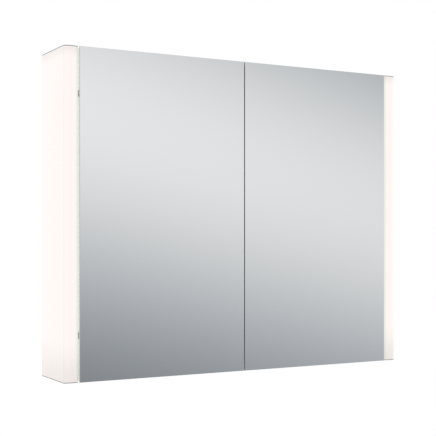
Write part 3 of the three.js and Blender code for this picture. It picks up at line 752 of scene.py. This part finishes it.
def rods(name, places, axis, radius_mm, start, end, segments=20):
    """Several round cutting tools as one mesh."""
    bm = bmesh.new()
    put = ALONG[axis]
    for a, b in places:
        lower = [bm.verts.new(put(a + u, b + v, start)) for u, v in disc(radius_mm * MM, segments)]
        upper = [bm.verts.new(put(a + u, b + v, end)) for u, v in disc(radius_mm * MM, segments)]
        for i in range(segments):
            bm.faces.new((lower[i - 1], lower[i], upper[i], upper[i - 1]))
        bm.faces.new(lower)
        bm.faces.new(upper)
    return piece_from(bm, name)


for side, sign in SIDES.items():
    node = f"side_panel_{side}"
    a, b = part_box(node)
    face = b.x if sign < 0 else a.x
    heights = [(i - (HOLES - 1) / 2) * HOLE_PITCH_MM * MM for i in range(HOLES)]
    places = [(a.y + row * MM, h) for row in HOLE_ROWS_MM for h in heights]
    deep = face + sign * HOLE_DEPTH_MM * MM
    drills = rods("drills", places, "x", HOLE_RADIUS_MM, deep, face - sign * CLEAR_MM * MM)
    dressed(node, "cabinet", "white_board", BOARD_ARRIS_MM, board, tools=(drills,))

for node in ("top_panel", "bottom_panel", "back_panel"):
    dressed(node, "cabinet", "white_board", BOARD_ARRIS_MM, board)

back_low, back_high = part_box("back_panel")
edge_in, aside = BACK_SCREW_IN_MM * MM, BACK_SCREW_ASIDE_MM * MM
back_screws = [
    (x, back_low.y - HEAD_UNDER_MM * MM, z)
    for x in (back_low.x + edge_in, -aside, aside, back_high.x - edge_in)
    for z in (back_low.z + edge_in, back_high.z - BACK_SCREW_DOWN_MM * MM)
]
screws("back_panel_screws", back_screws, (0, -1, 0), *BACK_HEAD, "cabinet", "hinge_steel", zinc)
print("carcass holes a side:", 2 * HOLES)

# %% [markdown]
# ## The light covers
# The cover is an extrusion that bows gently forward. Its outer corner is nearly sharp, and it rounds over
# softly towards the mirror. A bevelled box would round both corners alike, so the section is drawn instead,
# and both corners are arcs that meet the bow smoothly. One wall turns back beside the door.

# %% Light covers
WALL_MM, RETURN_MM = 2.5, 21.7
OUTER_ROUND_MM, INNER_ROUND_MM = 0.8, 3.0
OUTER_STEPS, BOW_STEPS, INNER_STEPS, INSIDE_STEPS = 6, 40, 10, 30
COVER_SHARP_DEGREES = 28
DEPTH_MM = (high.y - low.y) / MM


def arc(centre, radius, start, end, steps):
    """Points on an arc. Angles are from straight forward, and grow inwards."""
    angles = [start + (end - start) * i / steps for i in range(steps + 1)]
    return [(centre[0] + radius * math.sin(t), centre[1] - radius * math.cos(t)) for t in angles]


def cover_outline():
    """The cover's section in mm: how far in from the side, and how far back from the front."""
    width, radius = LIGHT_WIDTH_MM, (LIGHT_WIDTH_MM**2 / 4 + CROWN_MM**2) / (2 * CROWN_MM)
    middle = (width / 2, radius)
    leans, corners = [], []
    for way, r in ((-1, OUTER_ROUND_MM), (1, INNER_ROUND_MM)):
        reach = radius - r
        lean = math.asin((width / 2 - r) / reach)
        leans.append(lean)
        corners.append((middle[0] + way * reach * math.sin(lean), radius - reach * math.cos(lean)))
    front = arc(corners[0], OUTER_ROUND_MM, -math.pi / 2, -leans[0], OUTER_STEPS)
    front += arc(middle, radius, -leans[0], leans[1], BOW_STEPS)[1:-1]
    front += arc(corners[1], INNER_ROUND_MM, leans[1], math.pi / 2, INNER_STEPS)
    inner_radius = radius - WALL_MM
    inner_lean = math.asin((width / 2 - WALL_MM) / inner_radius)
    inside = arc(middle, inner_radius, inner_lean, -inner_lean, INSIDE_STEPS)
    back = [(width, RETURN_MM), (width - WALL_MM, RETURN_MM)]
    return front, front + back + inside + [(WALL_MM, DEPTH_MM), (0, DEPTH_MM)]


def on_side(points, sign):
    return [(sign * (HALF_WIDTH - s * MM), low.y + depth * MM) for s, depth in points]


front_line, cover_line = cover_outline()
for side, sign in SIDES.items():
    node = f"light_diffuser_{side}"
    a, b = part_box(node)
    cover = extruded(f"{node}_finished", on_side(cover_line, sign), "z", a.z, b.z, opal)
    smooth(fitted(cover, "cabinet", "opal_acrylic", node), COVER_SHARP_DEGREES)
print("cover section points:", len(cover_line))

# %% [markdown]
# ## End caps, carriers and LED boards
# A moulded cap closes each end of a light. It shows as one thin grey line. Two countersunk screws hold it,
# and their heads lie just under its face. The cap is drawn from the cover's own front line, so the two
# can't drift apart. Behind the cover, an aluminium channel carries two boards with a row of LEDs each.

# %% Caps, carriers and boards
CAP_SCREWS_MM = (44, 104)
CAP_SINK_MM, CAP_SINK_DEPTH_MM, CAP_HEAD_MM, CAP_HEAD_HEIGHT_MM = 2.9, 0.75, 2.6, 0.6
SINK_STEPS = 24
CAP_ARRIS_MM, CARRIER_ARRIS_MM, LED_BOARD_ARRIS_MM = 0.25, 0.2, 0.15
LED_PITCH_MM, LED_MM, LED_HEIGHT_MM, LED_TAPER = 16.6, 2.8, 0.8, 0.82


def chips(name, node, axis, towards):
    """A row of LEDs along a board, on the face that looks along the axis in this direction."""
    a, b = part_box(node)
    middle = (a + b) / 2
    count = int((b.z - a.z) / (LED_PITCH_MM * MM)) - 1
    half, tall = LED_MM * MM / 2, LED_HEIGHT_MM * MM
    square = [(-half, -half), (half, -half), (half, half), (-half, half)]
    whole = bmesh.new()
    for i in range(count):
        z = middle.z + (i - (count - 1) / 2) * LED_PITCH_MM * MM
        rings = []
        for h, k in ((0, 1), (tall, LED_TAPER)):
            if axis == "y":
                ring = [(middle.x + u * k, a.y - h, z + v * k) for u, v in square]
            else:
                face = b.x if towards > 0 else a.x
                ring = [(face + towards * h, middle.y + u * k, z + v * k) for u, v in square]
            rings.append([whole.verts.new(p) for p in ring])
        lower, upper = rings
        for j in range(4):
            whole.faces.new((lower[j - 1], lower[j], upper[j], upper[j - 1]))
        whole.faces.new(lower)
        whole.faces.new(upper)
    return fitted(piece_from(whole, name, led_phosphor), "cabinet", "led_board")


led_phosphor = moulded("yellow_led_phosphor", "#F2D98A", 0.35, 0.4)
for side, sign in SIDES.items():
    for level, up in (("bottom", -1), ("top", 1)):
        node = f"light_cap_{level}_{side}"
        a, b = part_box(node)
        face = a.z if up < 0 else b.z
        spots = on_side([(LIGHT_WIDTH_MM / 2, depth) for depth in CAP_SCREWS_MM], sign)
        outline = on_side([*front_line, (LIGHT_WIDTH_MM, DEPTH_MM), (0, DEPTH_MM)], sign)
        cap = extruded(f"{node}_finished", outline, "z", a.z, b.z, cap_abs)
        deep, clear = face - up * CAP_SINK_DEPTH_MM * MM, face + up * CLEAR_MM * MM
        sinks = rods("sinks", spots, "z", CAP_SINK_MM, deep, clear, SINK_STEPS)
        edges_broken(cap, CAP_ARRIS_MM)
        wide_faces_flat(carved(cap, sinks))
        fitted(cap, "cabinet", "cap_plastic", node)
        places = [(x, y, face - up * HEAD_UNDER_MM * MM) for x, y in spots]
        head = (CAP_HEAD_MM, CAP_HEAD_HEIGHT_MM)
        screws(f"cap_screws_{level}_{side}", places, (0, 0, up), *head, "cabinet", "hinge_steel", zinc)
    dressed(f"light_carrier_{side}", "cabinet", "anodised_aluminium", CARRIER_ARRIS_MM, aluminium)
    for facing in ("front", "side"):
        dressed(f"{facing}_led_board_{side}", "cabinet", "led_board", LED_BOARD_ARRIS_MM, solder_mask)
    chips(f"front_leds_{side}", f"front_led_board_{side}", "y", -1)
    chips(f"side_leds_{side}", f"side_led_board_{side}", "x", sign)
print("caps and boards done")

# %% [markdown]
# ## The doors
# Each door is a board core between two mirrors, the front one larger than the core, with no frame and no
# handle. The glass is cut, then its sharp arrises are ground to a narrow flat. So each mirror has a
# silvered face, polished edges and a painted back. They could be three pieces, but the way a face points
# already tells which it is, so one piece takes all the finishes. A soft clear bumper at each end keeps the
# door quiet.

# %% Doors
FRONT_ARRIS_MM, REAR_ARRIS_MM, CORE_ARRIS_MM = 0.2, 0.3, 0.3
FACE_ON, EDGE_ON = 0.95, 0.5  # how squarely a normal must point to count as the face, or as that edge
BUMPER_STRAIGHT, DOME_STEPS, BUMPER_SHARP_DEGREES = 0.35, 8, 40


def faces_given(obj, choose):
    """Gives each face the material that choose picks for its normal."""
    for face in obj.data.polygons:
        face.material_index = choose(face.normal)
    return obj


def mirror(node, body, front, arris_mm, sign):
    """A silvered sheet. front is the y direction its face looks in, and sign the side its hinges are on."""
    sheet = copied(node, f"{node}_finished", mirror_face, glass_edge, mirror_back, painted_glow_edge)
    edges_broken(sheet, arris_mm, 1)

    def finish_of(normal):
        if abs(normal.y) > FACE_ON:
            return 0 if normal.y * front > 0 else 2
        # The edge that faces the light beside the door gets the lighter copy with the painted glow.
        return 3 if normal.x * sign > EDGE_ON else 1

    return fitted(faces_given(sheet, finish_of), body, "mirror_glass", node)


for side, sign in SIDES.items():
    door = f"{side}_door"
    mirror(f"front_mirror_{side}", door, -1, FRONT_ARRIS_MM, sign)
    mirror(f"rear_mirror_{side}", door, 1, REAR_ARRIS_MM, sign)
    dressed(f"door_core_{side}", door, "door_board", CORE_ARRIS_MM, core_board)
    for level in ("bottom", "top"):
        node = f"bumper_{level}_{side}"
        a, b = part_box(node)
        radius, tall = (b.x - a.x) / 2, b.y - a.y
        dome = [(0, 0), (radius, 0), (radius, tall * BUMPER_STRAIGHT)]
        for i in range(1, DOME_STEPS):
            t = math.pi / 2 * i / DOME_STEPS
            height = BUMPER_STRAIGHT + (1 - BUMPER_STRAIGHT) * math.sin(t)
            dome.append((radius * math.cos(t), tall * height))
        dome.append((0, tall))
        centre = ((a.x + b.x) / 2, a.y, (a.z + b.z) / 2)
        bumper = turned(f"{node}_finished", dome, centre, "y", silicone)
        smooth(fitted(bumper, door, "clear_rubber", node), BUMPER_SHARP_DEGREES)
print("doors dressed")

# %% [markdown]
# ## The hinges
# Each hinge is nickel-plated: a cup let into the door, a flange screwed over it, a pin, and an arm that
# runs back to a plate on the side panel. The flange has an open slot, because the arm swings through it as
# the door opens. Its corners stay inside the circle that the door's corner turns in, so nothing touches as
# the door opens. A plain closed flange would be simpler, but the arm would pass through it.

# %% Hinges
FLANGE_MM = {"near": 10.8, "far": 35.0, "half": 24.0, "slot": 6.6, "slot_end": 23.2, "round": 5.0}
FLANGE_THICKNESS_MM, FLANGE_ARRIS_MM, FLANGE_OFF_DOOR_MM, FLANGE_EAR_ROUND_MM = 1.1, 0.25, 0.05, 2
FLANGE_SCREW_MM = (28.0, 17.5)
CUP_ARRIS_MM, ARM_ARRIS_MM, PLATE_ARRIS_MM = 0.35, 0.4, 0.45
PIN_TIP_MM, PIN_STEPS = 0.4, 32
FLANGE_HEAD = (3.4, 0.55)  # a head's radius and height
# How far the screws are from the hinge's middle, then a head's radius and height.
PLATE_SCREW, ARM_SCREW = (17, 3.6, 1.2), (13, 3.0, 0.9)


def corner(centre, radius, start, steps=6):
    angles = [start + math.pi / 2 * i / steps for i in range(steps + 1)]
    return [(centre[0] + radius * math.cos(t), centre[1] + radius * math.sin(t)) for t in angles]


def flange_outline():
    """Distance from the door's hinge edge, and height from the hinge's middle, in mm."""
    near, far, half = (FLANGE_MM[name] for name in ("near", "far", "half"))
    slot, slot_end, r = (FLANGE_MM[name] for name in ("slot", "slot_end", "round"))
    ear = FLANGE_EAR_ROUND_MM
    right = corner((far - r, -half + r), r, -math.pi / 2) + corner((far - r, half - r), r, 0)
    left_top = corner((near + ear, half - ear), ear, math.pi / 2)
    left_low = corner((near + ear, -half + ear), ear, math.pi)
    mouth = [(near, slot), (slot_end, slot), (slot_end, -slot), (near, -slot)]
    return right + left_top + mouth + left_low


for side, sign in SIDES.items():
    door = f"{side}_door"
    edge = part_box(f"front_mirror_{side}")[0 if sign < 0 else 1].x
    for level in LEVELS:
        name = f"{level}_{side}"
        plate_low, plate_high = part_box(f"hinge_plate_{name}")
        z = (plate_low.z + plate_high.z) / 2
        door_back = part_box(f"rear_mirror_{side}")[1].y
        dressed(f"hinge_cup_{name}", door, "hinge_steel", CUP_ARRIS_MM, nickel)
        dressed(f"hinge_arm_{name}", "cabinet", "hinge_steel", ARM_ARRIS_MM, nickel)
        dressed(f"hinge_plate_{name}", "cabinet", "hinge_steel", PLATE_ARRIS_MM, nickel)
        a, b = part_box(f"hinge_pin_{name}")
        radius, tip = (b.x - a.x) / 2, PIN_TIP_MM * MM
        rod = [(0, a.z), (radius - tip, a.z), (radius, a.z + tip)]
        rod += [(radius, b.z - tip), (radius - tip, b.z), (0, b.z)]
        centre = ((a.x + b.x) / 2, (a.y + b.y) / 2, 0)
        pin = turned(f"hinge_pin_{name}_finished", rod, centre, "z", nickel, steps=PIN_STEPS)
        smooth(fitted(pin, door, "hinge_steel", f"hinge_pin_{name}"))
        outline = [(edge - sign * x * MM, z + h * MM) for x, h in flange_outline()]
        rest = door_back + FLANGE_OFF_DOOR_MM * MM
        front_of = rest + FLANGE_THICKNESS_MM * MM
        flange = extruded(f"hinge_flange_{name}", outline, "y", rest, front_of, nickel)
        edges_broken(flange, FLANGE_ARRIS_MM)
        fitted(flange, door, "hinge_steel")
        across, apart = FLANGE_SCREW_MM
        x, y = edge - sign * across * MM, front_of + FLANGE_HEAD[1] * MM
        spots = [(x, y, z + k * apart * MM) for k in (-1, 1)]
        screws(f"hinge_flange_screws_{name}", spots, (0, 1, 0), *FLANGE_HEAD, door, "hinge_steel", zinc)
        inwards = (-sign, 0, 0)
        apart, *head = PLATE_SCREW
        x = (plate_high.x if sign < 0 else plate_low.x) - sign * head[1] * MM
        middle = (plate_low.y + plate_high.y) / 2
        spots = [(x, middle, z + k * apart * MM) for k in (-1, 1)]
        screws(f"hinge_plate_screws_{name}", spots, inwards, *head, "cabinet", "hinge_steel", zinc)
        apart, *head = ARM_SCREW
        arm_low, arm_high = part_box(f"hinge_arm_{name}")
        x = (arm_high.x if sign < 0 else arm_low.x) - sign * head[1] * MM
        spots = [(x, middle + k * apart * MM, z) for k in (-1, 1)]
        screws(f"hinge_arm_screws_{name}", spots, inwards, *head, "cabinet", "hinge_steel", zinc)
print("hinges:", 2 * len(LEVELS))

# %% [markdown]
# ## Shelves and clips
# The shelves are clear float glass with ground and polished edges. Seen along the sheet, the iron in the
# glass turns the edge green. Coloured glass all through would tint the faces too, so the edge has a
# material of its own. Each shelf rests in four soft clear clips.

# %% Shelves
SHELF_ARRIS_MM, CLIP_ARRIS_MM = 0.5, 0.4
shelf_edge, shelf_edge_shader = finish_named(
    "polished_float_glass_edge",
    Base_Color=linear("#A9CDBE"),
    Roughness=0.1,
    IOR=1.52,
    Transmission_Weight=0.5,
)
speckled(shelf_edge, shelf_edge_shader, 2.5, (0.06, 0.16))
for number in (1, 2):
    node = f"glass_shelf_{number}"
    shelf = copied(node, f"{node}_finished", glass, shelf_edge)
    edges_broken(shelf, SHELF_ARRIS_MM, 1)
    faces_given(shelf, lambda normal: 0 if abs(normal.z) > FACE_ON else 1)
    fitted(shelf, "cabinet", "shelf_glass", node)
    for place in ("front", "rear"):
        for side in SIDES:
            clip = f"shelf_{number}_clip_{place}_{side}"
            dressed(clip, "cabinet", "clear_rubber", CLIP_ARRIS_MM, silicone, segments=3)
print("shelves dressed")

# %% [markdown]
# ## Driver, cover and gland
# The driver is a long moulded box, with a step at each end where its terminal covers clip on. A folded
# aluminium cover hides it, with a row of vent slots underneath. The gland is a turned nylon bush in the
# back panel, with a rounded rim. Grooves and vents are real cuts, because a painted line has no shadow in
# it. The mains lead itself isn't part of this piece.

# %% Electrics
TERMINAL_MM, GROOVE_MM, GROOVE_DEPTH_MM = 24, 1.0, 0.7
VENTS, VENT_PITCH_MM, VENT_HALF_MM = 9, 14, (1.5, 9)
TOOL_PAST_MM = 5  # how far a box-shaped tool runs past the piece
DRIVER_ARRIS_MM, COVER_ARRIS_MM = 0.3, 0.4
COVER_SCREW_ASIDE_MM, COVER_HEAD = 115, (3.0, 0.9)
GLAND_STEPS = 4


def boxes(name, spans):
    """Several box-shaped cutting tools as one mesh."""
    bm = bmesh.new()
    for (x0, x1), (y0, y1), (z0, z1) in spans:
        v = [bm.verts.new((x, y, z)) for x in (x0, x1) for y in (y0, y1) for z in (z0, z1)]
        for ids in ((0, 1, 3, 2), (4, 6, 7, 5), (0, 4, 5, 1), (2, 3, 7, 6), (0, 2, 6, 4), (1, 5, 7, 3)):
            bm.faces.new([v[i] for i in ids])
    return piece_from(bm, name)


a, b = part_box("led_driver")
past, half_groove = TOOL_PAST_MM * MM, GROOVE_MM * MM / 2
across_y, across_z = (a.y - past, a.y + GROOVE_DEPTH_MM * MM), (a.z - past, b.z + past)
grooves = boxes(
    "grooves",
    [
        ((x - half_groove, x + half_groove), across_y, across_z)
        for x in (a.x + TERMINAL_MM * MM, b.x - TERMINAL_MM * MM)
    ],
)
dressed("led_driver", "cabinet", "white_plastic", DRIVER_ARRIS_MM, white_abs, tools=(grooves,), segments=3)

a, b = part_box("driver_cover")
middle = (a + b) / 2
half_x, half_y = (v * MM for v in VENT_HALF_MM)
vents = boxes(
    "vents",
    [
        ((x - half_x, x + half_x), (middle.y - half_y, middle.y + half_y), (a.z - past, a.z + past))
        for x in (middle.x + (i - (VENTS - 1) / 2) * VENT_PITCH_MM * MM for i in range(VENTS))
    ],
)
dressed("driver_cover", "cabinet", "anodised_aluminium", COVER_ARRIS_MM, aluminium, tools=(vents,))
aside, under = COVER_SCREW_ASIDE_MM * MM, a.z - COVER_HEAD[1] * MM
spots = [(middle.x + k * aside, middle.y, under) for k in (-1, 1)]
screws("driver_cover_screws", spots, (0, 0, -1), *COVER_HEAD, "cabinet", "hinge_steel", zinc)

a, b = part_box("cable_gland")
bore, body_radius, rim, rim_deep = 4.5 * MM, 7.5 * MM, (b.x - a.x) / 2, 2 * MM
soft = 0.7 * MM
gland_line = [(bore, a.y + soft), (bore + soft, a.y), (rim - soft, a.y)]
for i in range(1, GLAND_STEPS + 1):
    t = math.pi / 2 * i / GLAND_STEPS
    gland_line.append((rim - soft + soft * math.sin(t), a.y + soft - soft * math.cos(t)))
gland_line += [(rim, a.y + rim_deep), (body_radius, a.y + rim_deep), (body_radius, b.y), (bore, b.y)]
gland = turned("cable_gland_finished", gland_line, ((a.x + b.x) / 2, 0, (a.z + b.z) / 2), "y", nylon)
smooth(fitted(gland, "cabinet", "gland_plastic", "cable_gland"))
print("vents:", VENTS)

# %% [markdown]
# ## Switch and keyhole plates
# The rocker switch sits in the bottom panel, where a hand finds it from below. The two keyhole plates are
# stamped and zinc-plated, and let in flush with the back. Their screws are countersunk, so that nothing
# stands off the wall. The shapes come from the working model. Only broken edges, countersinks and screws
# are added here.

# %% Switch and plates
HOUSING_ARRIS_MM, ROCKER_ARRIS_MM, KEYHOLE_ARRIS_MM = 0.5, 0.4, 0.15
KEYHOLE_SCREW_MM, KEYHOLE_HEAD = (14.5, 22.5), (3.0, 0.9)
KEYHOLE_SINK_MM, KEYHOLE_SINK_DEPTH_MM, KEYHOLE_HEAD_UNDER_MM = 3.3, 1.1, 0.15

dressed("switch_housing", "cabinet", "white_plastic", HOUSING_ARRIS_MM, white_abs, segments=3)
dressed("switch_rocker", "rocker", "white_plastic", ROCKER_ARRIS_MM, white_abs, segments=3)
for side in SIDES:
    node = f"keyhole_plate_{side}"
    a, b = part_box(node)
    middle = (a + b) / 2
    aside, above = (size * MM for size in KEYHOLE_SCREW_MM)
    spots = [(middle.x + i * aside, middle.z + j * above) for i in (-1, 1) for j in (-1, 1)]
    deep, clear = b.y - KEYHOLE_SINK_DEPTH_MM * MM, b.y + CLEAR_MM * MM
    sinks = rods("sinks", spots, "y", KEYHOLE_SINK_MM, deep, clear, SINK_STEPS)
    dressed(node, "cabinet", "keyhole_steel", KEYHOLE_ARRIS_MM, zinc, tools=(sinks,))
    places = [(x, b.y - KEYHOLE_HEAD_UNDER_MM * MM, z) for x, z in spots]
    name = f"keyhole_plate_screws_{side}"
    screws(name, places, (0, 1, 0), *KEYHOLE_HEAD, "cabinet", "keyhole_steel", zinc)
print("switch and plates done")

# %% [markdown]
# ## The last update
# The scene is brought up to date once every piece is in.

# %% Update the scene
bpy.context.view_layer.update()
